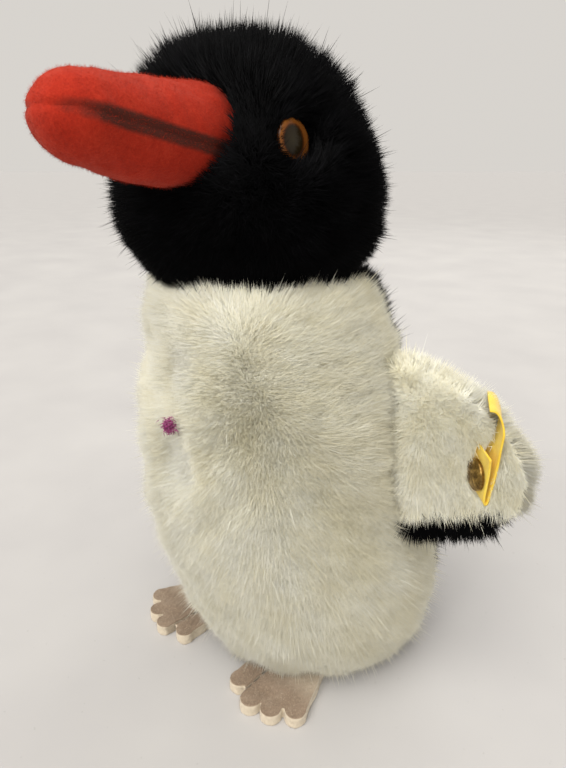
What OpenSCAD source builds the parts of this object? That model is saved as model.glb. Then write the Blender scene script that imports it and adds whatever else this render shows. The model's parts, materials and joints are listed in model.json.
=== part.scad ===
// Small plush penguin with a swivel head, felt beak and feet, glass eyes and
// two sewn-on wings. Millimetres, +Z up. The penguin faces -Y and its left
// side is +X. The origin is the middle of the flat base that it sits on.

/* [Body] */
// Height of the body, from the table to the neck
body_h = 96.8; // [85:0.1:105]
// Largest radius of the body, over the pressed pile
belly_r = 32.7; // [30:0.1:34]
// Height at which the body is widest
belly_z = 31; // [26:1:36]
// Radius of the body at the neck
neck_r = 22.8; // [21:0.1:24]
// Radius of the flat base
base_r = 19.5; // [18:0.1:21]
// How far forward of the base the neck stands
lean = 21; // [15:0.5:24]
// Thickness of the plush: its cloth and its pressed pile
plush_t = 3.2; // [2.5:0.1:3.5]
// Half angle of the white belly panel, counted from straight ahead
belly_half = 115; // [105:1:125]

/* [Head] */
// Height of the head above the neck joint
head_h = 40.4; // [36:0.1:44]
// Largest radius of the head, over the pressed pile
head_r = 24; // [22.5:0.1:25]
// Radius of the head where it meets the neck
head_foot_r = 19.6; // [18:0.1:21]
// Height above the neck at which the head is widest
head_wide_z = 15.5; // [13:0.5:18]
// Width of the strip that runs over the top of the head
gusset_w = 15; // [12:0.5:18]
// How far the head is turned to the penguin's left, in degrees
head_turn = 15; // [0:1:45]

/* [Beak] */
// Distance from the neck axis to the root of the beak
beak_root = 18; // [17:0.1:19]
// Length of the tapering part of the beak
beak_taper = 25; // [22:0.5:28]
// Width of the beak at its root
beak_w = 19.8; // [18:0.5:22]
// Height of the beak as a share of its width
beak_flat = 0.88; // [0.75:0.01:0.95]
// Radius of the rounded tip
beak_tip_r = 6.7; // [5.5:0.1:7.5]
// Height of the beak's middle above the neck joint, at the root
mouth_z = 25.6; // [23:0.1:27]
// Upward tilt of the beak
beak_tilt = 4; // [0:1:8]
// Upward tilt of the seam between the beak's halves
mouth_tilt = 10; // [4:0.5:11]
// Thickness of the beak's felt
beak_felt = 1.3; // [1:0.1:1.6]

/* [Eyes] */
// Radius of a glass eye
eye_r = 3.8; // [3.2:0.1:4]
// Distance of an eye from the neck axis
eye_out = 20.4; // [19.5:0.1:21]
// Direction in which an eye stands, counted from straight ahead
eye_at = 52; // [45:1:58]
// Direction in which an eye looks, counted from straight ahead
eye_looks = 76; // [60:1:80]
// Height of the eyes above the neck joint
eye_z = 25; // [23:0.5:27]

/* [Neck joint] */
// Radius of the two hardboard discs
disc_r = 14; // [12:0.5:15]
// Thickness of a hardboard disc
disc_t = 2.2; // [1.8:0.1:2.5]
// Radius of a steel washer
washer_r = 5; // [4:0.5:6]
// Thickness of a steel washer
washer_t = 0.8; // [0.6:0.1:1]
// Radius of the split pin
pin_r = 1.05; // [0.9:0.05:1.2]
// Gap between the head and the body
neck_gap = 0.4; // [0.3:0.1:0.6]

/* [Wings] */
// Half the thickness of a wing, which is one plush layer
wing_t = 2.5; // [2:0.1:2.6]
// Height of the lower end of a wing's seam
wing_low_z = 44; // [42:1:48]
// Height of the upper end of a wing's seam
wing_top_z = 86; // [82:1:88]
// Distance of the seam's lower end from the middle plane
wing_low_x = 35.4; // [35.2:0.1:36]
// Distance of the seam's upper end from the middle plane
wing_top_x = 27; // [27:0.1:28]
// Distance of the seam ahead of the base
wing_y = -7; // [-8:0.5:-6]
// Reach of a wing from its seam
wing_reach = 22; // [20:0.5:25]
// Direction of a wing at its seam, counted from straight ahead
wing_from = 135; // [125:1:138]
// Radius of the wing's forward curl
wing_curl_r = 32; // [28:1:60]

/* [Feet] */
// Thickness of the felt feet
foot_t = 3; // [2.5:0.1:3.2]
// Distance from the middle plane to a foot's inner edge
foot_in = 8.6; // [8:0.1:9]
// Radius of a toe
toe_r = 2.5; // [2.4:0.1:2.7]

/* [Tag] */
// Radius of the rivet's cap
rivet_r = 3.3; // [3:0.1:3.6]
// Width of the ribbon
ribbon_w = 8; // [7:0.5:8]
// Thickness of the ribbon
ribbon_t = 0.4; // [0.3:0.1:0.5]
// Height of the rivet above the table
rivet_z = 60; // [58:0.5:62]
// Turn of the rivet from the wing's face, about a vertical line
rivet_turn = 57; // [35:1:60]

/* [Hidden] */

$fn = 64;
cloth_t = 1;              // the thin cloth that closes the neck on both sides
seam_gap = 0.15;          // clear space between two sewn or laid-together pieces
round_steps = 6;          // points along each rounded stretch of an outline
far = 200;                // larger than the toy, for cutting

white = [0.90, 0.88, 0.80];
black = [0.06, 0.06, 0.07];
felt_red = [0.75, 0.20, 0.13];
felt_tan = [0.58, 0.49, 0.40];
filling = [0.80, 0.72, 0.55];
board = [0.55, 0.42, 0.28];
steel = [0.70, 0.70, 0.72];
amber = [0.55, 0.30, 0.08];
yellow = [0.95, 0.80, 0.25];
brass = [0.70, 0.55, 0.25];
magenta = [0.60, 0.10, 0.45];

feet_x = -2.3;            // the feet are sewn on this far to the penguin's right
thread_at = 3;            // direction of the breast thread, counted from straight ahead
thread_z = 70.5;          // its height
thread_out = 29.3;        // its distance from the middle of the body
mouth_drop = 2.8;         // how far the seam starts below the beak's middle
pin_eye_t = 0.9;          // thickness of the split pin's eye, below the body's washer
eye_back_h = 0.9;         // depth of a glass eye's rounded back
eye_pocket = 4;           // depth of the pocket that holds an eye and its loop
loop_r = 1.1;             // radius of an eye's wire loop
wire_r = 0.3;             // radius of the loop's wire
loop_depth = eye_back_h + loop_r + wire_r + 0.05;
neck_y = -lean;
head_z = body_h + neck_gap;
bore_r = pin_r + 0.35;
board_z = body_h - cloth_t - disc_t;
head_board_z = head_z + cloth_t;
head_washer_z = head_board_z + disc_t;

// --- outlines -------------------------------------------------------------

// A point on a rounded corner that runs from [r0, z0] to [r1, z1]; the
// corner is full for a high power and straight for a power of 1.
function corner(r0, z0, r1, z1, power, step) =
  let (a = 90 * step / round_steps)
  [r0 + (r1 - r0) * pow(sin(a), 2 / power), z1 + (z0 - z1) * pow(cos(a), 2 / power)];

// The body's half outline, with everything drawn in by "inset".
function body_outline(inset) = concat(
  [[0, inset]],
  [for (i = [0 : round_steps])
    corner(base_r - inset / 3, inset, belly_r - inset, belly_z, 2.5, i)],
  [for (i = [1 : round_steps])
    let (u = i / round_steps)
    [belly_r - inset - (belly_r - neck_r) * pow(u, 1.5), belly_z + (body_h - cloth_t - belly_z) * u]],
  inset > 0 ? [] : [[neck_r - 0.3, body_h]],
  [[0, inset > 0 ? body_h - cloth_t : body_h]]
);

// The head's half outline above the neck joint, drawn in by "inset".
function head_outline(inset) = concat(
  [[0, max(inset, 0)]],
  [for (i = [0 : round_steps])
    corner(head_foot_r - inset, inset, head_r - inset, head_wide_z, 2.2, i)],
  [for (i = [1 : round_steps])
    let (a = 90 * i / round_steps)
    [(head_r - inset) * pow(cos(a), 2 / 2.15),
     head_wide_z + (head_h - inset - head_wide_z) * pow(sin(a), 2 / 2.15)]]
);

// A point on a cubic Bezier curve.
function bezier(p, t) =
  pow(1 - t, 3) * p[0] + 3 * pow(1 - t, 2) * t * p[1] + 3 * (1 - t) * pow(t, 2) * p[2] + pow(t, 3) * p[3];

// --- placing --------------------------------------------------------------

// Leans what stands on the base forward, without tilting its level faces.
module leaned() {
  multmatrix([[1, 0, 0, 0], [0, 1, -lean / body_h, 0], [0, 0, 1, 0], [0, 0, 0, 1]]) children();
}

// Puts the children on the neck axis at the neck joint, turned with the head.
module on_head() {
  translate([0, neck_y, head_z]) rotate([0, 0, head_turn]) children();
}

// A slice of everything between two directions counted from straight ahead.
module between(from, to) {
  rotate([0, 0, from - 90]) rotate_extrude(angle = to - from) translate([0, -far / 2]) square([far, far]);
}

// --- body -----------------------------------------------------------------

module body_solid(inset) {
  rotate_extrude() polygon(body_outline(inset));
}

// The whole body cover, open only at the pin's hole and over the feet.
module body_cover() {
  difference() {
    leaned() difference() {
      body_solid(0);
      body_solid(plush_t);
    }
    translate([0, 0, -1]) cylinder(r = base_r + seam_gap, h = plush_t + 1.5);
    translate([0, neck_y, body_h - 2 * cloth_t]) cylinder(r = bore_r, h = far);
    feet_space();
  }
}

module belly_panel() {
  color(white) intersection() {
    body_cover();
    leaned() between(-belly_half, belly_half);
  }
}

module back_panel(side) {
  color(black) mirror([side < 0 ? 1 : 0, 0, 0]) intersection() {
    body_cover();
    leaned() between(belly_half + 0.3, 179.7);
  }
}

module base_panel() {
  color(white) difference() {
    cylinder(r = base_r, h = plush_t - seam_gap);
    feet_space();
  }
}

// The filling ends below the neck joint's hardware. It is a loose mass, so
// its outline is a hull.
module body_stuffing() {
  top_z = board_z - washer_t - pin_eye_t - seam_gap;
  color(filling) leaned() hull() rotate_extrude($fn = 32) intersection() {
    polygon(body_outline(plush_t + seam_gap));
    square([far, top_z]);
  }
}

// A short pointed tail, sewn flat against the bottom of the back.
module tail() {
  tail_w = 13;
  tail_l = 15;
  tail_t = 4.5;
  tip_r = 2;
  color(black) difference() {
    translate([0, 25, 17]) rotate([-38, 0, 0]) translate([0, 0, -tail_t / 2]) {
      linear_extrude(tail_t) polygon([
        [-tail_w / 2, 0], [tail_w / 2, 0], [tip_r, tail_l - tip_r], [-tip_r, tail_l - tip_r]
      ]);
      translate([0, tail_l - tip_r, 0]) cylinder(r = tip_r, h = tail_t);
    }
    leaned() body_solid(-seam_gap);
  }
}

// --- feet -----------------------------------------------------------------

// The left foot without its slit, grown by "grow". The inner edge runs
// straight ahead, the outer edge is splayed, and four toes end it.
module foot_block(thick, grow) {
  heel = [foot_in + 6.25, -12];
  heel_r = 5.75;
  toes = [[foot_in + toe_r, -36.1], [foot_in + 8.6, -38], [foot_in + 13.8, -36.6], [foot_in + 18.1, -33]];
  edge = 0.2 - grow; // the straight edges stand this far inside the rounded ends
  linear_extrude(thick) polygon([
    [foot_in + edge, toes[0].y], [foot_in + 0.5 + edge, heel.y], [foot_in + 12 - edge, heel.y],
    [foot_in + 20.4 - edge, toes[3].y + 1], toes[3], toes[2], toes[1], toes[0]
  ]);
  translate(heel) cylinder(r = heel_r + grow, h = thick);
  for (toe = toes) translate(toe) cylinder(r = toe_r + grow, h = thick);
}

// Puts the children, made as the left foot, where either foot is.
module at_foot(side) {
  translate([feet_x, 0, 0]) mirror([side < 0 ? 1 : 0, 0, 0]) children();
}

// A foot is cut from felt, with a deep slit beside the inner toe.
module foot(side) {
  slit = [0.5, 17];
  color(felt_tan) at_foot(side) difference() {
    foot_block(foot_t, 0);
    translate([foot_in + 2 * toe_r + 0.9, -36.2, -1]) rotate(4)
      translate([-slit.x / 2, -slit.y / 2]) cube([slit.x, slit.y, foot_t + 2]);
  }
}

// Room for both feet under the body.
module feet_space() {
  for (side = [-1, 1]) at_foot(side) translate([0, 0, -1]) foot_block(foot_t + seam_gap + 1, 0.2);
}

// A remnant of thread knotted into the breast.
module breast_thread() {
  color(magenta) leaned() rotate([0, 0, thread_at]) translate([0, -thread_out, thread_z])
    for (turn = [-35, 20, 75]) rotate([0, turn, 0]) translate([0, turn / 160, 0])
      cylinder(r = 0.45, h = 3.4, center = true, $fn = 24);
}

// --- neck joint -----------------------------------------------------------

// A round plate with the pin's hole, lying on the neck axis.
module neck_plate(r, t, z) {
  translate([0, neck_y, z]) difference() {
    cylinder(r = r, h = t);
    translate([0, 0, -1]) cylinder(r = bore_r, h = t + 2);
  }
}

module body_disc() { color(board) neck_plate(disc_r, disc_t, board_z); }

module body_washer() { color(steel) neck_plate(washer_r, washer_t, board_z - washer_t); }

module head_disc() { color(board) neck_plate(disc_r, disc_t, head_board_z); }

module head_washer() { color(steel) neck_plate(washer_r, washer_t, head_washer_z); }

// Split pin: an eye below the body's washer, a shank through both discs, and
// two ends that are bent apart above the head's washer.
module neck_pin() {
  pin_eye_r = 2.3;
  end_z = head_washer_z + washer_t + neck_gap;
  eye_low_z = board_z - washer_t - pin_eye_t;
  color(steel) translate([0, neck_y, 0]) {
    translate([0, 0, eye_low_z]) cylinder(r = pin_eye_r, h = pin_eye_t - 0.05);
    translate([0, 0, eye_low_z]) cylinder(r = pin_r, h = end_z + pin_r - eye_low_z);
    translate([0, 0, end_z + pin_r]) rotate([0, 90, 0])
      cylinder(r = pin_r, h = 2 * washer_r - 2, center = true);
  }
}

// --- head -----------------------------------------------------------------

module head_solid(inset) {
  rotate_extrude() polygon(head_outline(inset));
}

// The beak's solid in the head's frame, drawn in by "inset". A beak that is
// grown with a negative inset also reaches in behind the root.
module beak_solid(inset) {
  root_r = beak_w / 2 - inset;
  behind = inset < 0 ? [[0, -4], [root_r, -4]] : [[0, inset]];
  tip_r = beak_tip_r - inset;
  tip_steps = 2 * round_steps;
  translate([0, -beak_root, mouth_z]) rotate([90 - beak_tilt, 0, 0]) scale([1, beak_flat, 1])
    rotate_extrude() polygon(concat(
      behind, [[root_r, max(0, inset)]],
      [for (i = [0 : tip_steps])
        let (a = 90 * i / tip_steps)
        [tip_r * cos(a), beak_taper + tip_r * sin(a)]]
    ));
}

// Puts the children where an eye is, with +Z along its gaze.
module at_eye(side) {
  mirror([side < 0 ? 1 : 0, 0, 0]) translate([eye_out * sin(eye_at), -eye_out * cos(eye_at), eye_z])
    rotate([0, 0, eye_looks - 90]) rotate([0, 90, 0]) children();
}

module head_cover() {
  difference() {
    head_solid(0);
    head_solid(plush_t);
    translate([0, 0, -1]) cylinder(r = head_foot_r - plush_t, h = plush_t + 2);
    beak_solid(-seam_gap);
    for (side = [-1, 1]) at_eye(side) translate([0, 0, -eye_pocket]) cylinder(r = eye_r + seam_gap, h = 20);
  }
}

module head_panel(side) {
  color(black) on_head() intersection() {
    head_cover();
    translate([side > 0 ? gusset_w / 2 + seam_gap : -far - gusset_w / 2 - seam_gap, -far / 2, -1])
      cube([far, far, far]);
  }
}

// The middle strip of the head's cover, which the beak parts in two.
module head_strip() {
  intersection() {
    head_cover();
    translate([-gusset_w / 2, -far / 2, -1]) cube([gusset_w, far, far]);
  }
}

module below_beak() {
  translate([-far / 2, -far, -1]) cube([far, far, mouth_z + 1]);
}

// The strip from the beak over the crown and down the nape.
module head_gusset() {
  color(black) on_head() difference() {
    head_strip();
    below_beak();
  }
}

module chin_panel() {
  color(black) on_head() intersection() {
    head_strip();
    below_beak();
  }
}

// The cloth that is gathered under the head's disc.
module head_base_cloth() {
  color(black) on_head() difference() {
    cylinder(r = head_foot_r - plush_t - seam_gap, h = cloth_t);
    translate([0, 0, -1]) cylinder(r = bore_r, h = far);
  }
}

module head_stuffing() {
  color(filling) on_head() difference() {
    head_solid(plush_t + seam_gap);
    translate([0, 0, -1]) cylinder(r = disc_r + 2.7, h = cloth_t + disc_t + seam_gap + 1);
    translate([0, 0, -1]) cylinder(r = washer_r + 1, h = cloth_t + disc_t + 7);
    beak_solid(-seam_gap);
    for (side = [-1, 1]) at_eye(side) translate([0, 0, -eye_pocket]) cylinder(r = eye_r + seam_gap, h = 20);
    eye_thread_line(0.6);
  }
}

module beak_half(side) {
  color(felt_red) on_head() intersection() {
    difference() {
      beak_solid(0);
      beak_solid(beak_felt);
    }
    translate([0, -beak_root, mouth_z - mouth_drop]) rotate([-mouth_tilt, 0, 0])
      translate([-far / 2, -far, side > 0 ? 0.02 : -far - 0.02]) cube([far, far + 10, far]);
  }
}

module beak_stuffing() {
  color(filling) on_head() beak_solid(beak_felt + seam_gap);
}

// --- eyes -----------------------------------------------------------------

// A blown glass eye: a low dome on a rounded back.
module eye(side) {
  dome_h = 2.6;
  color(amber) on_head() at_eye(side) rotate_extrude() intersection() {
    union() {
      scale([1, dome_h / eye_r]) circle(r = eye_r);
      translate([0, -eye_back_h]) square([eye_r * 0.86, eye_back_h]);
    }
    translate([0, -eye_back_h]) square([far, far]);
  }
}

// The wire loop at the back of an eye.
module eye_loop(side) {
  color(steel) on_head() at_eye(side) translate([0, 0, -loop_depth]) rotate([90, 0, 0])
    rotate_extrude() translate([loop_r, 0]) circle(r = wire_r, $fn = 24);
}

// The straight line of the thread that ties the two eye loops together.
module eye_thread_line(r) {
  reach = eye_out * sin(eye_at) - loop_depth * sin(eye_looks) - loop_r - wire_r - 0.1;
  ahead = -eye_out * cos(eye_at) + loop_depth * cos(eye_looks);
  translate([0, ahead, eye_z]) rotate([0, 90, 0]) cylinder(r = r, h = 2 * reach, center = true);
}

module eye_thread() {
  color(black) on_head() eye_thread_line(0.3);
}

// --- wings ----------------------------------------------------------------

wing_span = norm([wing_low_x - wing_top_x, wing_top_z - wing_low_z]);
wing_h = wing_span - 3.5; // height of a wing along its seam
wing_tilt = atan2(wing_top_x - wing_low_x, wing_top_z - wing_low_z);

// Puts the children at the lower end of the left wing's seam, with +Z up
// the seam and +X along the wing.
module on_wing() {
  translate([wing_low_x, wing_y, wing_low_z]) rotate([0, wing_tilt, 0])
    rotate([0, 0, wing_from - 90]) children();
}

// Side view of a wing, from its seam to its rounded free edge.
module wing_outline() {
  top = [[0, wing_h], [12, wing_h - 0.5], [19, wing_h - 10], [wing_reach, wing_h - 21.5]];
  low = [[wing_reach, wing_h - 21.5], [wing_reach + 1.6, 9], [wing_reach - 4, 1], [12, 0]];
  polygon(concat(
    [[0, 0]], [for (i = [0 : 8]) bezier(top, i / 8)], [for (i = [1 : 8]) bezier(low, i / 8)]
  ));
}

// One plush layer of the left wing, between two radii of its forward curl.
module wing_layer(r_in, r_out) {
  intersection() {
    translate([0, -wing_curl_r, -5]) difference() {
      cylinder(r = r_out, h = wing_span + 10, $fn = 128);
      translate([0, 0, -1]) cylinder(r = r_in, h = wing_span + 12, $fn = 128);
    }
    union() {
      rotate([90, 0, 0]) linear_extrude(60, center = true) wing_outline();
      cylinder(r = wing_t, h = wing_h);
    }
  }
}

module wing_inner(side) {
  color(white) mirror([side < 0 ? 1 : 0, 0, 0]) difference() {
    on_wing() wing_layer(wing_curl_r - wing_t, wing_curl_r - 0.05);
    if (side > 0) tag_space();
  }
}

module wing_outer(side) {
  color(black) mirror([side < 0 ? 1 : 0, 0, 0]) difference() {
    on_wing() wing_layer(wing_curl_r + 0.05, wing_curl_r + wing_t);
    if (side > 0) tag_space();
  }
}

// --- tag ------------------------------------------------------------------

tag_curl = 26.5;          // degrees of curl between the wing's seam and the rivet
tag_stand = 3.8;          // rivet's distance ahead of the wing's middle
tag_roll = 8;             // degrees by which the ribbon leans out at its top
post_r = 0.8;
post_l = 8.5;
ribbon_low = -5;         // lowest point of the ribbon's legs, counted from the rivet

// Puts the children at the rivet, with +Z out of its cap and +X up the ribbon.
module on_rivet() {
  along = wing_curl_r * sin(tag_curl) - tag_stand * sin(tag_curl);
  back = -wing_curl_r * (1 - cos(tag_curl)) - tag_stand * cos(tag_curl);
  wing_face = wing_from - tag_curl - 90;
  seam_x = wing_low_x + (wing_top_x - wing_low_x) * (rivet_z - wing_low_z) / (wing_top_z - wing_low_z);
  turn = wing_from - 90;
  translate([
    seam_x + along * cos(turn) - back * sin(turn),
    wing_y + along * sin(turn) + back * cos(turn),
    rivet_z
  ]) rotate([0, 0, wing_face - rivet_turn]) rotate([90, -90, 0]) rotate([0, 0, -tag_roll]) children();
}

// The folded ribbon: a short leg under the cap, a fold at the bottom, and a
// long leg behind it whose free end curls forward.
module ribbon_section() {
  gap = 0.6;
  short_l = 11.5;
  long_l = 20;
  curl_r = 2.6;
  curl_deg = 95;
  back = -2 * ribbon_t - gap;
  translate([ribbon_low, -ribbon_t]) square([short_l, ribbon_t]);
  translate([ribbon_low, back]) square([long_l, ribbon_t]);
  translate([ribbon_low, back / 2]) intersection() {
    difference() {
      circle(r = gap / 2 + ribbon_t);
      circle(r = gap / 2);
    }
    translate([-far, -far / 2]) square([far, far]);
  }
  translate([ribbon_low + long_l, back + curl_r]) intersection() {
    difference() {
      circle(r = curl_r);
      circle(r = curl_r - ribbon_t);
    }
    polygon([[0, 0], [0, -far], [far, -far], [far * cos(curl_deg - 90), far * sin(curl_deg - 90)]]);
  }
}

module tag_ribbon() {
  color(yellow) difference() {
    on_rivet() rotate([90, 0, 0]) linear_extrude(ribbon_w, center = true) ribbon_section();
    on_rivet() translate([0, 0, -5]) cylinder(r = post_r + 0.1, h = 10);
  }
}

module tag_rivet() {
  cap_edge = 0.5;
  cap_h = 1.3;
  color(brass) on_rivet() {
    rotate_extrude() polygon(concat(
      [[0, 0.05], [rivet_r, 0.05]],
      [for (i = [0 : round_steps])
        let (a = 90 * i / round_steps)
        [rivet_r * cos(a), cap_edge + (cap_h - cap_edge) * sin(a)]]
    ));
    translate([0, 0, -post_l]) cylinder(r = post_r, h = post_l + 0.1);
  }
}

// The washer that the rivet's post is spread over, behind the wing.
module tag_rivet_washer() {
  color(brass) on_rivet() translate([0, 0, -post_l]) difference() {
    cylinder(r = rivet_r - 0.5, h = 0.6);
    translate([0, 0, -1]) cylinder(r = post_r + 0.02, h = 3);
  }
}

// Room for the tag: a crease for the ribbon, a hole for the post and a
// hollow for the washer.
module tag_space() {
  on_rivet() {
    translate([ribbon_low - 1, -ribbon_w / 2 - 0.3, -1.7]) cube([far, ribbon_w + 0.6, far]);
    translate([0, 0, -post_l - 1]) cylinder(r = post_r + 0.1, h = post_l + 2);
    translate([0, 0, -post_l - far]) cylinder(r = rivet_r - 0.3, h = far + 0.8);
  }
}

// --- what is drawn ----------------------------------------------------------

belly_panel();
back_panel(1);  // back_panel_left
back_panel(-1);  // back_panel_right
base_panel();
body_stuffing();
tail();
foot(1);  // foot_left
foot(-1);  // foot_right
breast_thread();
body_disc();
body_washer();
neck_pin();
head_disc();
head_washer();
head_panel(1);  // head_panel_left
head_panel(-1);  // head_panel_right
head_gusset();
chin_panel();
head_base_cloth();
head_stuffing();
beak_half(1);  // beak_upper
beak_half(-1);  // beak_lower
beak_stuffing();
eye(1);  // eye_left
eye(-1);  // eye_right
eye_loop(1);  // eye_loop_left
eye_loop(-1);  // eye_loop_right
eye_thread();
wing_inner(1);  // wing_left_inner
wing_outer(1);  // wing_left_outer
wing_inner(-1);  // wing_right_inner
wing_outer(-1);  // wing_right_outer
tag_ribbon();
tag_rivet();
tag_rivet_washer();
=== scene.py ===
"""Plush penguin: the looks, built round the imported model.

Lengths are in millimetres until a mesh is made, and then in metres. The
penguin faces -Y and its left side is +X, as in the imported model.
"""
import json
import math

import bmesh
import bpy
import numpy as np
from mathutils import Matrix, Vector


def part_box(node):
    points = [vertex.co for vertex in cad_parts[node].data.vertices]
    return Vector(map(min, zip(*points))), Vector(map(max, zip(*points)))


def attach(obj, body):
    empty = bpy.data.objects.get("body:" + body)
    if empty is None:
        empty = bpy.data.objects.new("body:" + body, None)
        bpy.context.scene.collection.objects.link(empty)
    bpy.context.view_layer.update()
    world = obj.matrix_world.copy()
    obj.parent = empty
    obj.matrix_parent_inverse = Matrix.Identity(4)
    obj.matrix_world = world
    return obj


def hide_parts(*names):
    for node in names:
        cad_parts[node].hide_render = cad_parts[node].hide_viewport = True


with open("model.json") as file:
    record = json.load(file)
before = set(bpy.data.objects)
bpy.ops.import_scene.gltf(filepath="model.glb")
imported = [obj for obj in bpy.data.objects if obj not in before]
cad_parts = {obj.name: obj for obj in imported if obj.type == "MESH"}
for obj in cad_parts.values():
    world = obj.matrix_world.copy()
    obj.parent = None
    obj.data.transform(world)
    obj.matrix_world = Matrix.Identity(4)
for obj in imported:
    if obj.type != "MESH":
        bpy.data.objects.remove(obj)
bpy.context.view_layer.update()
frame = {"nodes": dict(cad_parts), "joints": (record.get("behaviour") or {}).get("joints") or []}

MM = 0.001
JOINTS = {joint["name"]: joint for joint in frame["joints"]}

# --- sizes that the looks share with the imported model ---


def node_box(node):
    """The lowest and highest corner of a CAD node, in millimetres."""
    low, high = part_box(node)
    return np.array(low) / MM, np.array(high) / MM


UP = np.array([0, 0, 1.0])

# the body, round its own leaning middle line
BODY_H = node_box("belly_panel")[1][2]
BELLY_R = node_box("belly_panel")[1][0]
BELLY_Z = 31.0           # the height at which it is widest
NECK_R = 22.8
BASE_R = 19.5
NECK_Y = JOINTS["head_swivel"]["pos_m"][1] / MM
SKIN_IN = 1.8            # how far the cloth lies inside the pressed pile
THREAD_ANGLE = 3.4       # the knot of thread: degrees round the body, and height
THREAD_Z = 70.4

# the head, in its own frame: at the neck joint and facing -Y
HEAD_Z = node_box("head_base_cloth")[0][2]
HEAD_TOP = node_box("head_gusset")[1][2] - HEAD_Z
HEAD_R = 24.0
HEAD_FOOT_R = 19.6
HEAD_WIDE_Z = 15.5
HEAD_TURN = math.radians(15)
GUSSET_HALF = 7.5
BEAK_ROOT = 18.0
BEAK_MID_Z = 25.6
BEAK_TAPER = 25.0        # the beak narrows over this length, and then ends in its round tip
BEAK_W = 19.8
BEAK_FLAT = 0.88
BEAK_TIP_R = 6.7
BEAK_LENGTH = BEAK_TAPER + BEAK_TIP_R
BEAK_TILT = math.radians(4)
MOUTH_TILT = math.radians(10)
MOUTH_DROP = 2.8
EYE_R = 3.8
EYE_OUT = 20.4
EYE_AT = math.radians(52)
EYE_LOOKS = math.radians(76)
EYE_RISE = math.radians(7)   # a glass eye is never quite level in its pile
EYE_Z = 25.0
EYE_DOME = 1.2
EYE_BACK = -0.9
PUPIL_AHEAD = 1.4        # the pupil sits this far towards the beak from the middle of the eye

# the feet, with the slit between the middle toes
FEET_X = -2.3
SLIT_X = 14.5
SLIT_Y = -36.2
SLIT_SLOPE = -math.tan(math.radians(4))
SLIT_LENGTH = 8.5

# --- small mathematical helpers ---


def unit(vectors):
    """The vectors, each with length 1."""
    length = np.linalg.norm(vectors, axis=-1, keepdims=True)
    return vectors / np.maximum(length, 1e-9)


def smooth(low, high, value):
    """0 below low, 1 above high, and a smooth step between."""
    t = np.clip((value - low) / (high - low), 0, 1)
    return t * t * (3 - 2 * t)


def waves(points, size, seed, count=7):
    """A smooth random value, mostly from -1 to 1, at each point; size is the width of its lumps."""
    rng = np.random.default_rng(seed)
    pitch = rng.normal(size=(count, 3)) * (3.6 / size)
    phase = rng.uniform(0, 2 * np.pi, count)
    return np.sin(points @ pitch.T + phase).sum(1) / math.sqrt(count)


def turn_z(points, angle):
    """The points turned about +Z."""
    c, s = math.cos(angle), math.sin(angle)
    return points @ np.array([[c, s, 0], [-s, c, 0], [0, 0, 1]])


def head_to_world(points):
    """From the head's frame, at the neck joint and facing -Y, to the row frame."""
    return turn_z(points, HEAD_TURN) + np.array([0, NECK_Y, HEAD_Z])


def world_to_head(points):
    return turn_z(points - np.array([0, NECK_Y, HEAD_Z]), -HEAD_TURN)


def body_axis(z):
    """The Y of the body's middle at each height."""
    return NECK_Y * z / BODY_H


def body_angle(points):
    """Degrees round the body from straight ahead, positive on the penguin's left."""
    return np.degrees(np.arctan2(points[:, 0], -(points[:, 1] - body_axis(points[:, 2]))))


# --- meshes ---


def new_object(name, mesh):
    obj = bpy.data.objects.new(name, mesh)
    bpy.context.scene.collection.objects.link(obj)
    return obj


def mesh_of(name, points, faces):
    """A new object from points in millimetres."""
    mesh = bpy.data.meshes.new(name)
    mesh.from_pydata([tuple(p) for p in np.asarray(points) * MM], [], [tuple(f) for f in faces])
    mesh.update()
    return new_object(name, mesh)


def points_of(obj):
    """The points of an object's mesh, in millimetres."""
    co = np.empty(len(obj.data.vertices) * 3)
    obj.data.vertices.foreach_get("co", co)
    return co.reshape(-1, 3) / MM


def set_points(obj, points):
    obj.data.vertices.foreach_set("co", (points * MM).ravel())
    obj.data.update()
    return obj


def normals_of(obj):
    normals = np.empty(len(obj.data.vertices) * 3)
    obj.data.vertices.foreach_get("normal", normals)
    return normals.reshape(-1, 3)


def grown(obj, by):
    """Moves each point out along its normal, by as many millimetres as it says for that point."""
    by = np.broadcast_to(by, len(obj.data.vertices))
    return set_points(obj, points_of(obj) + normals_of(obj) * by[:, None])


def apply_modifiers(obj):
    """Replaces the mesh with what its modifiers make of it."""
    graph = bpy.context.evaluated_depsgraph_get()
    made = bpy.data.meshes.new_from_object(obj.evaluated_get(graph))
    obj.modifiers.clear()
    old = obj.data
    obj.data = made
    bpy.data.meshes.remove(old)
    return obj


def remesh(obj, voxel):
    """A closed mesh of even faces, with voxels of that size in millimetres."""
    modifier = obj.modifiers.new("Remesh", "REMESH")
    modifier.mode = "VOXEL"
    modifier.voxel_size = voxel * MM
    return apply_modifiers(obj)


def smoothed(obj, times, factor=0.5):
    modifier = obj.modifiers.new("Smooth", "SMOOTH")
    modifier.iterations = times
    modifier.factor = factor
    return apply_modifiers(obj)


def subdivided(obj, levels=1):
    modifier = obj.modifiers.new("Subdivision", "SUBSURF")
    modifier.levels = levels
    return apply_modifiers(obj)


def shade_smooth(obj):
    obj.data.polygons.foreach_set("use_smooth", [True] * len(obj.data.polygons))
    return obj


def copy_of(name, *nodes):
    """One new object with the meshes of these CAD nodes."""
    made = bmesh.new()
    for node in nodes:
        made.from_mesh(frame["nodes"][node].data)
    mesh = bpy.data.meshes.new(name)
    made.to_mesh(mesh)
    made.free()
    return new_object(name, mesh)


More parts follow.
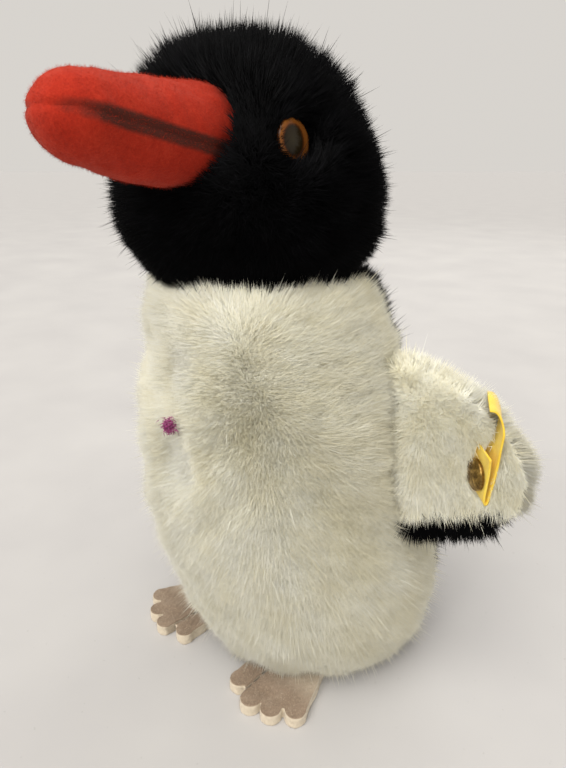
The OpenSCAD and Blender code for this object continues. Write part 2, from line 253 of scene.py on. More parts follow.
def revolve(name, outline, turns=72):
    """A closed solid turned about +Z. Its outline is of radius and height, from axis to axis."""
    rings = outline[1:-1]
    angles = np.linspace(0, 2 * np.pi, turns, endpoint=False)
    points = [(0, 0, outline[0][1])]
    points += [(r * math.sin(a), -r * math.cos(a), z) for r, z in rings for a in angles]
    points.append((0, 0, outline[-1][1]))
    last = len(points) - 1
    top = last - turns
    faces = []
    for i in range(turns):
        j = (i + 1) % turns
        faces.append((0, 1 + j, 1 + i))
        faces.append((last, top + i, top + j))
        for ring in range(len(rings) - 1):
            a = 1 + ring * turns
            faces.append((a + i, a + j, a + turns + j, a + turns + i))
    return mesh_of(name, points, faces)


PUFF_STEPS = 20
PUFF_PRESSURE = 4


def puff(obj, cap, sewn):
    """Blows a closed mesh up as cloth does over its filling. No point moves further than cap, in
    millimetres, and the points for which sewn is true stay where they are."""
    rest = points_of(obj)
    group = obj.vertex_groups.new(name="sewn")
    group.add([int(i) for i in np.flatnonzero(sewn(rest))], 1.0, "REPLACE")
    cloth = obj.modifiers.new("Cloth", "CLOTH")
    cloth.settings.quality = 5
    cloth.settings.use_pressure = True
    cloth.settings.uniform_pressure_force = PUFF_PRESSURE
    cloth.settings.effector_weights.gravity = 0
    cloth.settings.vertex_group_mass = "sewn"
    scene = bpy.context.scene
    for step in range(PUFF_STEPS):
        scene.frame_set(step + 1)
    graph = bpy.context.evaluated_depsgraph_get()
    blown = obj.evaluated_get(graph).data
    co = np.empty(len(blown.vertices) * 3)
    blown.vertices.foreach_get("co", co)
    moved = co.reshape(-1, 3) / MM - rest
    far = np.linalg.norm(moved, axis=1, keepdims=True)
    moved *= np.minimum(1, cap / np.maximum(far, 1e-9))
    obj.modifiers.clear()
    scene.frame_set(1)
    set_points(obj, rest + moved)
    return obj


def split_faces(obj, name, wanted):
    """Moves the faces whose middle is wanted into a new object, with the same normals."""
    mesh = bmesh.new()
    mesh.from_mesh(obj.data)
    middles = np.array([face.calc_center_median() for face in mesh.faces]) / MM
    chosen = wanted(middles)
    other = mesh.copy()
    made = bpy.data.meshes.new(name)
    for part, gone, data in ((mesh, chosen, obj.data), (other, ~chosen, made)):
        faces = [face for face, go in zip(part.faces, gone) if go]
        bmesh.ops.delete(part, geom=faces, context="FACES")
        part.to_mesh(data)
        part.free()
    return new_object(name, made)


# --- materials ---


class Paint:
    """One material and short ways to add its nodes."""

    def __init__(self, name, roughness=0.8, **sockets):
        self.material = bpy.data.materials.new(name)
        self.material.use_nodes = True
        self.nodes = self.material.node_tree.nodes
        self.links = self.material.node_tree.links
        self.shader = self.nodes["Principled BSDF"]
        self.shader.inputs["Roughness"].default_value = roughness
        for socket, value in sockets.items():
            self.shader.inputs[socket.replace("_", " ")].default_value = value

    def add(self, kind, **inputs):
        node = self.nodes.new(kind)
        for socket, value in inputs.items():
            node.inputs[socket.replace("_", " ")].default_value = value
        return node

    def coordinates(self):
        return self.add("ShaderNodeTexCoord").outputs["Object"]

    def noise(self, size, detail=3.0, rough=0.55, stretch=None):
        """A noise value whose lumps are about that many millimetres wide."""
        texture = self.add("ShaderNodeTexNoise", Scale=1 / (size * MM), Detail=detail, Roughness=rough)
        place = self.coordinates()
        if stretch:
            mapping = self.add("ShaderNodeMapping", Scale=stretch)
            self.links.new(place, mapping.inputs["Vector"])
            place = mapping.outputs["Vector"]
        self.links.new(place, texture.inputs["Vector"])
        return texture.outputs["Fac"]

    def broken(self, name, size, detail, amount):
        """A value painted on the mesh, broken up by noise of that size and amount."""
        node = self.add("ShaderNodeAttribute")
        node.attribute_name = name
        breaks = self.math("MULTIPLY", self.noise(size, detail), amount)
        return self.math("ADD", node.outputs["Fac"], breaks)

    def blend(self, a, b, share):
        """Value a, with that share of value b in it."""
        return self.math("ADD", self.math("MULTIPLY", a, 1 - share), self.math("MULTIPLY", b, share))

    def ramp(self, value, *stops):
        """Colours along a value; each stop is a place and a colour."""
        node = self.add("ShaderNodeValToRGB")
        elements = node.color_ramp.elements
        while len(elements) < len(stops):
            elements.new(0.5)
        for element, (place, colour) in zip(elements, stops):
            element.position = place
            element.color = (*colour, 1)
        self.links.new(value, node.inputs["Fac"])
        return node.outputs["Color"]

    def math(self, operation, a, b):
        node = self.add("ShaderNodeMath")
        node.operation = operation
        for socket, value in zip(node.inputs, (a, b)):
            if isinstance(value, (int, float)):
                socket.default_value = value
            else:
                self.links.new(value, socket)
        return node.outputs["Value"]

    def mix(self, share, a, b):
        """From colour a to colour b as share goes from 0 to 1."""
        node = self.add("ShaderNodeMix")
        node.data_type = "RGBA"
        for socket, value in ((node.inputs[0], share), (node.inputs[6], a), (node.inputs[7], b)):
            if isinstance(value, tuple):
                socket.default_value = (*value, 1)
            elif isinstance(value, float):
                socket.default_value = value
            else:
                self.links.new(value, socket)
        return node.outputs[2]

    def colour(self, value):
        if isinstance(value, tuple):
            self.shader.inputs["Base Color"].default_value = (*value, 1)
        else:
            self.links.new(value, self.shader.inputs["Base Color"])
        return self

    def roughness(self, value, low, high):
        node = self.add("ShaderNodeMapRange")
        node.inputs["To Min"].default_value = low
        node.inputs["To Max"].default_value = high
        self.links.new(value, node.inputs["Value"])
        self.links.new(node.outputs["Result"], self.shader.inputs["Roughness"])
        return self

    def bump(self, height, depth, strength=1.0):
        """Bumps that are that many millimetres deep."""
        node = self.add("ShaderNodeBump")
        node.inputs["Strength"].default_value = strength
        node.inputs["Distance"].default_value = depth * MM
        self.links.new(height, node.inputs["Height"])
        self.links.new(node.outputs["Normal"], self.shader.inputs["Normal"])
        return self

    def on(self, *objects):
        for obj in objects:
            obj.data.materials.clear()
            obj.data.materials.append(self.material)
        return self.material


def cover(obj, paint, slot, body, *nodes, fill=None):
    """Paints an object, hangs it on the body it rides on and hides the CAD nodes that it
    replaces. slot, its slot, is not used, and neither is fill, how full it is if it gives when pressed."""
    paint.on(obj)
    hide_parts(*nodes)
    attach(obj, body)


def set_attribute(obj, name, values):
    """Paints a value on the mesh, for Paint.broken."""
    attribute = obj.data.attributes.new(name, "FLOAT", "POINT")
    attribute.data.foreach_set("value", np.asarray(values, np.float32))


def fibre_shades(name, colours, roughness, specular, sheen=0.0):
    """One plain material for each shade of a pile. Thousands of fibres of each shade, in clumps and
    singly, make the pile's colour vary; the constants stay on the shader's own sockets."""
    made = []
    for number, colour in enumerate(colours):
        paint = Paint(f"{name}_{number}", roughness, Specular_IOR_Level=specular, Sheen_Weight=sheen)
        made.append(paint.colour(colour).material)
    return made


def mottled(name, roughness, grain, stops, depth=None, shine=None, **sockets):
    """A paint whose colour, and its bumps and roughness where they are given, follow one noise.
    grain is that noise's size, detail, roughness and stretch, as in Paint.noise."""
    paint = Paint(name, roughness, **sockets)
    value = paint.noise(*grain)
    paint.colour(paint.ramp(value, *stops))
    if shine:
        paint.roughness(value, *shine)
    if depth:
        paint.bump(value, depth)
    return paint


def backing(name, dark, light):
    """Woven backing cloth with the feet of the pile in it."""
    stops = (0.35, dark), (0.65, light)
    return mottled(name, 0.95, (0.9, 4), stops, 0.25, (0.85, 1.0), Specular_IOR_Level=0.1)


def wood_wool():
    """The curled filling."""
    stops = (0.35, (0.42, 0.32, 0.17)), (0.65, (0.78, 0.68, 0.46))
    return mottled("wood_wool", 0.9, (3.0, 6, 0.7, (1, 1, 0.3)), stops, 0.8)


def aged_brass():
    """Dull brass, brown where it is stained."""
    stops = (0.35, (0.10, 0.055, 0.015)), (0.52, (0.26, 0.16, 0.045)), (0.68, (0.62, 0.42, 0.14))
    return mottled("aged_brass", 0.35, (1.2, 5, 0.65), stops, 0.05, (0.55, 0.28), Metallic=1.0)


def bright_steel():
    """Drawn steel with fine scratches along it."""
    stops = (0.3, (0.42, 0.42, 0.43)), (0.7, (0.62, 0.62, 0.63))
    grain = (0.5, 4, 0.6, (1, 1, 0.1))
    return mottled("bright_steel", 0.3, grain, stops, shine=(0.25, 0.45), Metallic=1.0)


def hardboard():
    stops = (0.3, (0.22, 0.12, 0.055)), (0.7, (0.40, 0.25, 0.13))
    return mottled("hardboard", 0.8, (0.6, 5, 0.7), stops, 0.1)


def black_thread():
    stops = (0.4, (0.006, 0.006, 0.006)), (0.6, (0.03, 0.03, 0.03))
    return mottled("black_thread", 0.7, (0.4, 2, 0.5, (0.2, 1, 1)), stops, 0.05)


# --- pile ---

FIBRES_IN_PIECE = 60000
CLUMP = 3.0              # width of the clumps in which fibres fall the same way
LOCK = 1.1               # width of the thinner locks in a clump
STRAY = 0.21             # how far single fibres turn from their neighbours' direction
LONG_SHARE = 0.015       # share of the fibres that are longer than the rest
PILE_CLEARANCE = 0.25    # a pile's fibres that come closer to the table than this are left out
WOOL_CLEARANCE = 0.05    # a felt's stray wool is bent up, to stay this far above the table
NORMAL_SOFTNESS = 0.82   # share of the skin's direction in the shading of a fibre
WOOL_WIDTH = 0.035
CORNER_OUT = 0.577       # from a fibre's middle to its three corners, for a width of 1
ROOT_DEPTH = 0.3
LEAST_RISE = 0.12        # a fibre's tip points at least this much away from the skin


def scatter(obj, per_mm2, rng):
    """Random points on an object's faces, in millimetres, with their normals."""
    mesh = obj.data
    mesh.calc_loop_triangles()
    corners = np.empty(len(mesh.loop_triangles) * 3, np.int32)
    mesh.loop_triangles.foreach_get("vertices", corners)
    corners = corners.reshape(-1, 3)
    points = points_of(obj)
    normals = normals_of(obj)
    a, b, c = (points[corners[:, i]] for i in range(3))
    area = np.linalg.norm(np.cross(b - a, c - a), axis=1) / 2
    count = int(area.sum() * per_mm2)
    chosen = rng.choice(len(area), count, p=area / area.sum())
    s = np.sqrt(rng.uniform(size=count))
    t = rng.uniform(size=count)
    weights = np.stack([1 - s, s * (1 - t), s * t], 1)
    corners = corners[chosen]
    place = (points[corners] * weights[:, :, None]).sum(1)
    return place, unit((normals[corners] * weights[:, :, None]).sum(1))


def blades(name, body, paths, widths, materials, shades, rng, skin=None):
    """Makes pointed, three-sided fibres, each straight from the foot to the tip of its path (paths
    are fibres x foot, middle and tip x XYZ, in millimetres), in pieces that each stay small. skin is
    the outward direction at each root: the fibres are shaded partly as if they were a soft surface
    that faces that way."""
    count = len(paths)
    along = unit(paths[:, 2] - paths[:, 0])
    first = unit(np.cross(along, rng.normal(size=(count, 3))))
    second = np.cross(along, first)
    corners = []
    shading = []
    for turn in (0, 2 * np.pi / 3, 4 * np.pi / 3):
        ray = first * np.cos(turn) + second * np.sin(turn)
        corners.append(paths[:, 0] + ray * (widths * CORNER_OUT)[:, None])
        shading.append(ray)
    corners = np.stack([*corners, paths[:, 2]], 1) * MM
    shading = np.stack([*shading, along], 1)
    if skin is not None:
        shading = shading * (1 - NORMAL_SOFTNESS) + skin[:, None] * NORMAL_SOFTNESS
    made = []
    for number, start in enumerate(range(0, count, FIBRES_IN_PIECE)):
        part = corners[start:start + FIBRES_IN_PIECE]
        size = len(part)
        mesh = bpy.data.meshes.new(f"{name}_{number + 1}")
        mesh.vertices.add(size * 4)
        mesh.vertices.foreach_set("co", part.ravel())
        mesh.loops.add(size * 9)
        sides = np.arange(size)[:, None] * 4 + np.array([0, 1, 3, 1, 2, 3, 2, 0, 3])
        mesh.loops.foreach_set("vertex_index", sides.ravel())
        mesh.polygons.add(size * 3)
        mesh.polygons.foreach_set("loop_start", np.arange(size * 3) * 3)
        mesh.polygons.foreach_set("material_index", np.repeat(shades[start:start + FIBRES_IN_PIECE], 3))
        for material in materials:
            mesh.materials.append(material)
        mesh.update(calc_edges=True)
        soft = unit(shading[start:start + FIBRES_IN_PIECE].reshape(-1, 3))
        mesh.normals_split_custom_set_from_vertices(soft.tolist())
        obj = new_object(f"{name}_{number + 1}", mesh)
        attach(obj, body)
        made.append(obj)
    return made


class Plush:
    """A plush of one colour: its backing cloth, and a pile with fibres in several shades."""

    def __init__(self, colour, shades, roughness, specular, sheen, weave):
        self.colour = colour
        self.slot = f"{colour}_plush"
        self.shades = fibre_shades(f"{colour}_pile", shades, roughness, specular, sheen)
        self.backing = backing(f"{colour}_backing", *weave)

    def pile(self, part, body, roots, normals, lean, length, width, wild, seed, keep=None, tone=0):
        """Grows a pile. lean is the direction in which each fibre falls: its length says how far,
        from 0 for one that stands up to 1 for one that lies flat. wild says how far the clumps
        part. keep may drop fibres: it gets the paths and returns which stay. tone moves the shade
        of each fibre, towards the first shade below 0."""
        rng = np.random.default_rng(seed)
        count = len(roots)
        clump = np.stack([waves(roots, CLUMP, seed * 7 + i) for i in range(3)], 1) * wild
        lock = np.stack([waves(roots, LOCK, seed * 7 + 3 + i) for i in range(3)], 1) * wild * 0.7
        stray = rng.normal(size=(count, 3)) * STRAY
        tip = unit(normals + lean * 1.5 + clump + lock + stray)
        foot = unit(normals * 1.6 + lean * 0.5 + stray * 0.5)
        outward = (tip * normals).sum(1)
        tip = unit(tip + normals * np.clip(LEAST_RISE - outward, 0, None)[:, None])
        length = length * (1 + 0.12 * waves(roots, 5.0, seed * 7 + 6) + rng.normal(size=count) * 0.09)
        long_one = rng.uniform(size=count) < LONG_SHARE
        length = np.where(long_one, length * rng.uniform(1.1, 1.6, count), length)
        end = roots + foot * (length * 0.42)[:, None] + tip * (length * 0.62)[:, None]
        paths = np.stack([roots - normals * ROOT_DEPTH, (roots + end) / 2, end], 1)
        shade = waves(roots, 6.0, seed * 7 + 8) * 0.45 + rng.normal(size=count) * 0.55 + tone
        last = len(self.shades) - 1
        shades = np.clip((shade * 0.33 + 0.5) * (last + 1), 0, last).astype(np.int32)
        widths = width * rng.uniform(0.6, 1.3, count)
        stays = paths[:, :, 2].min(1) > PILE_CLEARANCE
        if keep is not None:
            stays &= keep(paths)
        blades(
            f"{self.colour}_pile_{part}", body, paths[stays], widths[stays], self.shades,
            shades[stays], rng, normals[stays],
        )


def tangent(direction, normals):
    """The part of a direction, or of one direction for each normal, that lies along the surface."""
    direction = np.broadcast_to(direction, normals.shape)
    return direction - (direction * normals).sum(1, keepdims=True) * normals


# --- camera, light and floor ---


FLOOR_HALF = 30000
CAMERA_LENS = 27.05
CAMERA_AT = (0.0909, -0.1035, 0.118)
CAMERA_DOWN = math.radians(20.5)
CAMERA_TURN = math.radians(45)
LIGHT_TARGET = Vector((0, -0.01, 0.07))
KEY_DIRECTION = Vector((-0.27, 0.72, -1.10))
WARM_WHITE = (1.0, 0.98, 0.95)


def make_camera():
    data = bpy.data.cameras.new("camera")
    data.lens = CAMERA_LENS
    data.clip_start = 0.01
    data.clip_end = 20
    camera = new_object("camera", data)
    camera.location = CAMERA_AT
    camera.rotation_euler = (math.pi / 2 - CAMERA_DOWN, 0, CAMERA_TURN)
    bpy.context.scene.camera = camera


def aim(light, direction):
    light.rotation_euler = direction.to_track_quat("-Z", "Y").to_euler()


def make_light(name, place, size, watts):
    """A soft square light at a place in metres that looks at the penguin's middle."""
    data = bpy.data.lights.new(name, "AREA")
    data.size = size
    data.energy = watts
    data.color = WARM_WHITE
    light = new_object(name, data)
    light.location = place
    aim(light, LIGHT_TARGET - Vector(place))


def make_studio():
    world = bpy.data.worlds.new("studio")
    bpy.context.scene.world = world
    world.use_nodes = True
    sky = world.node_tree.nodes["Background"]
    sky.inputs["Color"].default_value = (0.72, 0.69, 0.65, 1)
    sky.inputs["Strength"].default_value = 0.95
    sun = bpy.data.lights.new("key", "SUN")
    sun.energy = 3.1
    sun.angle = math.radians(55)
    sun.color = (1.0, 0.975, 0.94)
    aim(new_object("key", sun), KEY_DIRECTION)
    make_light("back", (-0.2, 0.7, 0.8), 0.7, 2)
    make_light("window", (0.15, -0.75, 0.45), 0.07, 0.6)
    bpy.context.scene.view_settings.view_transform = "Standard"
    corners = [(x * FLOOR_HALF, y * FLOOR_HALF, 0) for x, y in ((-1, -1), (1, -1), (1, 1), (-1, 1))]
    floor = mesh_of("floor", corners, [(0, 1, 2, 3)])
    paint = Paint("table_top", 0.6)
    speck = paint.noise(1.6, 2)
    cloud = paint.noise(60, 3)
    base = paint.ramp(cloud, (0.3, (0.435, 0.425, 0.42)), (0.7, (0.48, 0.47, 0.46)))
    dots = paint.ramp(speck, (0.70, (0, 0, 0)), (0.76, (0.25, 0.25, 0.25)))
    paint.colour(paint.mix(dots, base, (0.25, 0.235, 0.22)))
    paint.roughness(cloud, 0.5, 0.7)
    paint.on(floor)


# --- body ---

WHITES = [
    (0.89, 0.84, 0.62), (0.93, 0.89, 0.70), (0.95, 0.925, 0.76), (0.965, 0.95, 0.81), (0.98, 0.97, 0.87),
]
BLACKS = [
    (0.0005, 0.0005, 0.0007), (0.001, 0.001, 0.0013), (0.0015, 0.0015, 0.002), (0.005, 0.005, 0.006),
]
WHITE_WEAVE = ((0.80, 0.74, 0.60), (0.90, 0.86, 0.75))
BLACK_WEAVE = ((0.001, 0.001, 0.001), (0.005, 0.005, 0.005))
HEAD_WEAVE = ((0.001, 0.001, 0.001), (0.004, 0.004, 0.004))
BODY_PILE = 5.2          # length of the body's pile, and how much shorter it is by the feet
LOW_PILE_LOSS = 1.4
SIDE_SEAM = 115          # degrees from straight ahead
END_GAP = 0.6            # from the cloth to the bottom of the body


def corner(r0, z0, r1, z1, power, count):
    """Points on a rounded corner from [r0, z0] to [r1, z1]."""
    a = np.linspace(0, np.pi / 2, count)
    return r0 + (r1 - r0) * np.sin(a) ** (2 / power), z1 + (z0 - z1) * np.cos(a) ** (2 / power)


def black_edge(z):
    """Degrees from straight ahead at which the pile turns black, at each height."""
    return 103 + 20 * smooth(BODY_H, BODY_H - 7, z) - 5 * smooth(60, 20, z)


def make_body_cloth():
    """The stuffed cover as one closed cloth, blown up between its seams."""
    low_r, low_z = corner(BASE_R - SKIN_IN / 3, END_GAP, BELLY_R - SKIN_IN, BELLY_Z, 2.5, 12)
    top = BODY_H - 0.8
    high_z = np.linspace(BELLY_Z, top, 16)[1:]
    share = (high_z - BELLY_Z) / (BODY_H - BELLY_Z)
    high_r = BELLY_R - (BELLY_R - NECK_R) * share ** 1.5 - SKIN_IN
    outline = [(0, END_GAP), *zip(low_r, low_z), *zip(high_r, high_z), (0, top)]
    cloth = revolve("body_cloth", outline)
    leaned = points_of(cloth)
    leaned[:, 1] += body_axis(leaned[:, 2])
    remesh(set_points(cloth, leaned), 2.4)

    def sewn(points):
        angle = np.abs(body_angle(points))
        side_seam = np.abs(angle - SIDE_SEAM) < 3
        back_seam = angle > 177
        ends = (points[:, 2] < 3) | (points[:, 2] > BODY_H - 3)
        return side_seam | back_seam | ends

    subdivided(puff(cloth, 0.9, sewn))
    points = points_of(cloth)
    lumps = waves(points, 26, 11) * 0.35 + waves(points, 11, 12) * 0.15
    off_ends = smooth(4, 12, points[:, 2]) * smooth(BODY_H - 2, BODY_H - 12, points[:, 2])
    right_side = smooth(75, 25, np.abs(body_angle(points) + 45))
    slack = right_side * (0.6 * smooth(32, 8, points[:, 2]) + 2.6 * smooth(68, 84, points[:, 2]))
    return shade_smooth(grown(cloth, lumps * off_ends - slack))


def body_lean(roots, normals):
    """How the body's pile falls: down in front, back along the sides, and up round the neck."""
    side = np.sin(np.radians(body_angle(roots)))
    up = tangent(UP, normals)
    around = unit(np.cross(UP, normals))
    fall = np.interp(roots[:, 2], (30, 50, 69, 85, 95), (-0.52, -0.30, 0.12, 0.34, 0.50))
    rise = fall + 0.3 * np.abs(side) ** 1.5 * smooth(25, 50, roots[:, 2]) + 0.10 * waves(roots, 14, 22)
    sweep = 0.34 * side + 0.16 * waves(roots, 16, 21)
    return up * rise[:, None] + around * sweep[:, None]


def off_the_knot(paths):
    """True for the fibres that stay off the knot of thread in the breast."""
    tips = paths[:, 2]
    return np.hypot((body_angle(tips) - THREAD_ANGLE) * 0.55, tips[:, 2] - THREAD_Z) >= 1.5


def make_body(white, black, wool):
    belly = make_body_cloth()
    back = split_faces(belly, "back_cover", lambda m: np.abs(body_angle(m)) > black_edge(m[:, 2]))
    belly.name = "belly_cover"
    filling = remesh(copy_of("body_filling", "body_stuffing"), 2.5)
    set_points(filling, points_of(filling) * [0.985, 0.985, 0.995] + [0, -0.1, 0])
    cover(belly, white.backing, white.slot, "body", "belly_panel", "base_panel", fill=0.85)
    cover(back, black.backing, black.slot, "body", "back_panel_left", "back_panel_right", fill=0.85)
    cover(filling, wool, "filling", "body", "body_stuffing", fill=0.85)

    rng = np.random.default_rng(31)
    for obj, part, per_mm2 in ((belly, "belly", 54), (back, "back", 16)):
        roots, normals = scatter(obj, per_mm2, rng)
        under = (roots[:, 2] < 2.5) & (normals[:, 2] < -0.6)
        top = (roots[:, 2] > BODY_H - 2.5) & (normals[:, 2] > 0.6)
        roots, normals = roots[~under & ~top], normals[~under & ~top]
        angle = body_angle(roots)
        is_black = np.abs(angle) > black_edge(roots[:, 2]) + waves(roots, 4, 33) * 1.2
        worn = smooth(7, 3, np.hypot((angle - THREAD_ANGLE) / 1.9, (roots[:, 2] - THREAD_Z + 9) / 1.6))
        # painted shade: from 10 to 80 degrees round the penguin's left, the side turned from the light,
        # the fibres move towards the darker, yellower shades. Under the knot, the matted patch is
        # whiter.
        tone = 0.9 * worn - 0.5 * smooth(10, 80, angle)
        for plush, chosen, width, wild, seed in (
            (white, ~is_black, 0.21, 0.09, 40),
            (black, is_black, 0.31, 0.22, 41),
        ):
            if chosen.sum() < 100:
                continue
            here, facing = roots[chosen], normals[chosen]
            length = (BODY_PILE - LOW_PILE_LOSS * smooth(8, 1, here[:, 2])) * (1 - 0.35 * worn[chosen])
            plush.pile(
                part, "body", here, facing, body_lean(here, facing), length, width, wild, seed,
                off_the_knot, tone[chosen],
            )


# --- head ---


def beak_place(points):
    """Points of the head's frame seen from the beak's root: to the left, out along it, and up."""
    x, y, z = (points - [0, -BEAK_ROOT, BEAK_MID_Z]).T
    c, s = math.cos(BEAK_TILT), math.sin(BEAK_TILT)
    return np.stack([x, z * s - y * c, y * s + z * c], 1)


def beak_distance(points):
    """How far points of the head's frame lie outside the beak, roughly, in millimetres."""
    place = beak_place(points)
    wide = BEAK_W / 2 + (BEAK_TIP_R - BEAK_W / 2) * np.clip(place[:, 1] / BEAK_TAPER, 0, 1)
    behind = (-6 - place[:, 1]).clip(0)
    return np.hypot(place[:, 0], place[:, 2] / BEAK_FLAT) - wide + 3 * behind


def eye_frame(side):
    """The middle of an eye and the way it looks, in the head's frame."""
    middle = np.array([side * EYE_OUT * math.sin(EYE_AT), -EYE_OUT * math.cos(EYE_AT), EYE_Z])
    level = np.array([side * math.sin(EYE_LOOKS), -math.cos(EYE_LOOKS), 0])
    return middle, level * math.cos(EYE_RISE) + UP * math.sin(EYE_RISE)


def from_eyes(points):
    """For each eye: points of the head's frame seen from its middle, how far they lie along the way
    that it looks, and how far beside that."""
    for side in (-1, 1):
        middle, looks = eye_frame(side)
        away = points - middle
        along = away @ looks
        yield away, along, np.linalg.norm(away - along[:, None] * looks, axis=1), looks


def make_head_cloth():
    """The head's stuffed cover as one closed cloth, in the head's frame."""
    low = 0.5
    top = HEAD_TOP - SKIN_IN
    radius = HEAD_R - SKIN_IN
    low_r, low_z = corner(HEAD_FOOT_R - SKIN_IN - 1.8, low, radius, HEAD_WIDE_Z + 1, 1.9, 10)
    a = np.linspace(0, np.pi / 2, 14)[1:-1]
    crown = 2 / 2.15
    high_r = radius * np.cos(a) ** crown
    high_z = HEAD_WIDE_Z + (top - HEAD_WIDE_Z) * np.sin(a) ** crown
    outline = [(0, low), *zip(low_r, low_z), *zip(high_r, high_z), (0, top)]
    cloth = remesh(revolve("head_cloth", outline), 2.0)

    def sewn(points):
        strip = np.abs(np.abs(points[:, 0]) - GUSSET_HALF) < 1.2
        return strip | (points[:, 2] < 2.5) | (beak_distance(points) < 2)

    subdivided(puff(cloth, 0.8, sewn))
    points = points_of(cloth)
    angle = np.degrees(np.arctan2(points[:, 0], -points[:, 1]))
    cheek = np.exp(-((np.abs(angle) - 62) / 32) ** 2) * np.exp(-((points[:, 2] - 17) / 12) ** 2)
    points = points_of(grown(cloth, cheek * 0.9 + waves(points, 18, 13) * 0.3))
    high = smooth(14, 34, points[:, 2])
    points[:, 0] *= 1 - 0.07 * high
    points[:, 1] -= high * (2.6 + 0.16 * points[:, 1].clip(0))
    for _, along, beside, looks in from_eyes(points):
        raised = (along + 0.6).clip(0) * smooth(7.0, 4.6, beside) * (along < 6)
        points -= looks * raised[:, None]
    return shade_smooth(set_points(cloth, points))


def head_lean(roots, normals):
    """How the head's pile falls: out and up on the crown, back and down on the sides, away from the
    beak and the eyes close by."""
    up = tangent(UP, normals)
    back = tangent(np.array([0, 1.0, 0]), normals)
    low = smooth(22, 6, roots[:, 2])
    lean = back * 0.16 - up * (0.14 * low)[:, None]
    near = smooth(5, 0.5, beak_distance(roots))
    place = beak_place(roots)
    outward = np.stack([place[:, 0], np.zeros(len(roots)), place[:, 2]], 1)
    lean = lean - tangent(unit(outward), normals) * (near * 0.12)[:, None]
    lean[:, 1] -= near * 0.30
    for away, *_ in from_eyes(roots):
        close = smooth(6.5, 3.5, np.linalg.norm(away, axis=1))
        lean = lean + tangent(unit(away), normals) * (close * 0.25)[:, None]
    return lean


def clear_of_face(paths):
    """True for the fibres, in the head's frame, that stay out of the beak and the eyes."""
    stays = np.ones(len(paths), bool)
    for step in range(3):
        points = paths[:, step]
        stays &= beak_distance(points) > (-1.2, -0.3, -0.8)[step]
        for _, along, beside, _ in from_eyes(points):
            stays &= (beside > EYE_R - 0.7 - 0.7 * (step == 2)) | (np.abs(along - 2) > 4)
    return stays


def make_head(black):
    cloth = make_head_cloth()
    roots, normals = scatter(cloth, 24, np.random.default_rng(51))
    bottom = (roots[:, 2] < 2.5) & (normals[:, 2] < -0.5)
    stays = ~bottom & clear_of_face(np.repeat(roots[:, None], 3, 1))
    roots, normals = roots[stays], normals[stays]
    angle = np.degrees(np.arctan2(roots[:, 0], -roots[:, 1]))
    front = smooth(130, 60, np.abs(angle))
    length = 4.3 + 1.0 * front + 1.0 * smooth(24, 36, roots[:, 2]) - 2.0 * smooth(11, 1, roots[:, 2])
    for away, *_ in from_eyes(roots):
        length *= 0.5 + 0.5 * smooth(3.5, 7.0, np.linalg.norm(away, axis=1))

    def keep(paths):
        return clear_of_face(world_to_head(paths.reshape(-1, 3)).reshape(paths.shape))

    lean = turn_z(head_lean(roots, normals), HEAD_TURN)
    black.pile(
        "head", "head", head_to_world(roots), turn_z(normals, HEAD_TURN), lean, length, 0.27, 0.32, 60,
        keep,
    )
    cloth_paint = backing("head_backing", *HEAD_WEAVE)
    left = split_faces(cloth, "head_cover_left", lambda m: m[:, 0] > GUSSET_HALF)
    right = split_faces(cloth, "head_cover_right", lambda m: m[:, 0] < -GUSSET_HALF)
    chin = split_faces(cloth, "head_cover_chin", lambda m: (m[:, 2] < BEAK_MID_Z) & (m[:, 1] < 0))
    cloth.name = "head_cover_crown"
    for obj, *nodes in (
        (cloth, "head_gusset", "head_base_cloth"),
        (left, "head_panel_left"),
        (right, "head_panel_right"),
        (chin, "chin_panel"),
    ):
        set_points(obj, head_to_world(points_of(obj)))
        cover(obj, cloth_paint, black.slot, "head", *nodes, fill=0.9)


# --- beak ---


def mouth_place(points):
    """Heights of points of the head's frame above the mouth's seam, and distances out along it."""
    _, y, z = (points - [0, -BEAK_ROOT, BEAK_MID_Z - MOUTH_DROP]).T
    c, s = math.cos(MOUTH_TILT), math.sin(MOUTH_TILT)
    return y * s + z * c, z * s - y * c


def felt_paint(name, dark, middle, light, sheen, sheen_colour):
    """Pressed wool felt, with cloudy colour, tangled fibres and a soft sheen."""
    paint = Paint(
        name, 0.95, Sheen_Weight=sheen, Sheen_Tint=(*sheen_colour, 1), Sheen_Roughness=0.4,
        Specular_IOR_Level=0.2,
    )
    tangle = paint.noise(0.45, 5, 0.7)
    cloudy = paint.blend(paint.noise(5.0, 3), tangle, 0.55)
    colour = paint.ramp(cloudy, (0.34, dark), (0.5, middle), (0.68, light))
    paint.roughness(tangle, 0.85, 1.0)
    paint.bump(tangle, 0.16, 0.8)
    return paint, colour


def fuzz(obj, name, body, per_mm2, length, materials, seed):
    """Short stray wool on a felt surface."""
    rng = np.random.default_rng(seed)
    roots, normals = scatter(obj, per_mm2, rng)
    count = len(roots)
    lean = rng.normal(size=(count, 3)) * 0.75
    size = length * rng.uniform(0.4, 1.3, count)
    tip = unit(normals + lean)
    bend = unit(tip + rng.normal(size=(count, 3)) * 0.5)
    middle = roots + tip * (size * 0.5)[:, None]
    paths = np.stack([roots - normals * 0.05, middle, middle + bend * (size * 0.5)[:, None]], 1)
    paths[:, :, 2] = paths[:, :, 2].clip(WOOL_CLEARANCE)
    shades = rng.integers(0, len(materials), count).astype(np.int32)
    widths = WOOL_WIDTH * rng.uniform(0.7, 1.3, count)
    blades(name, body, paths, widths, materials, shades, rng, normals)


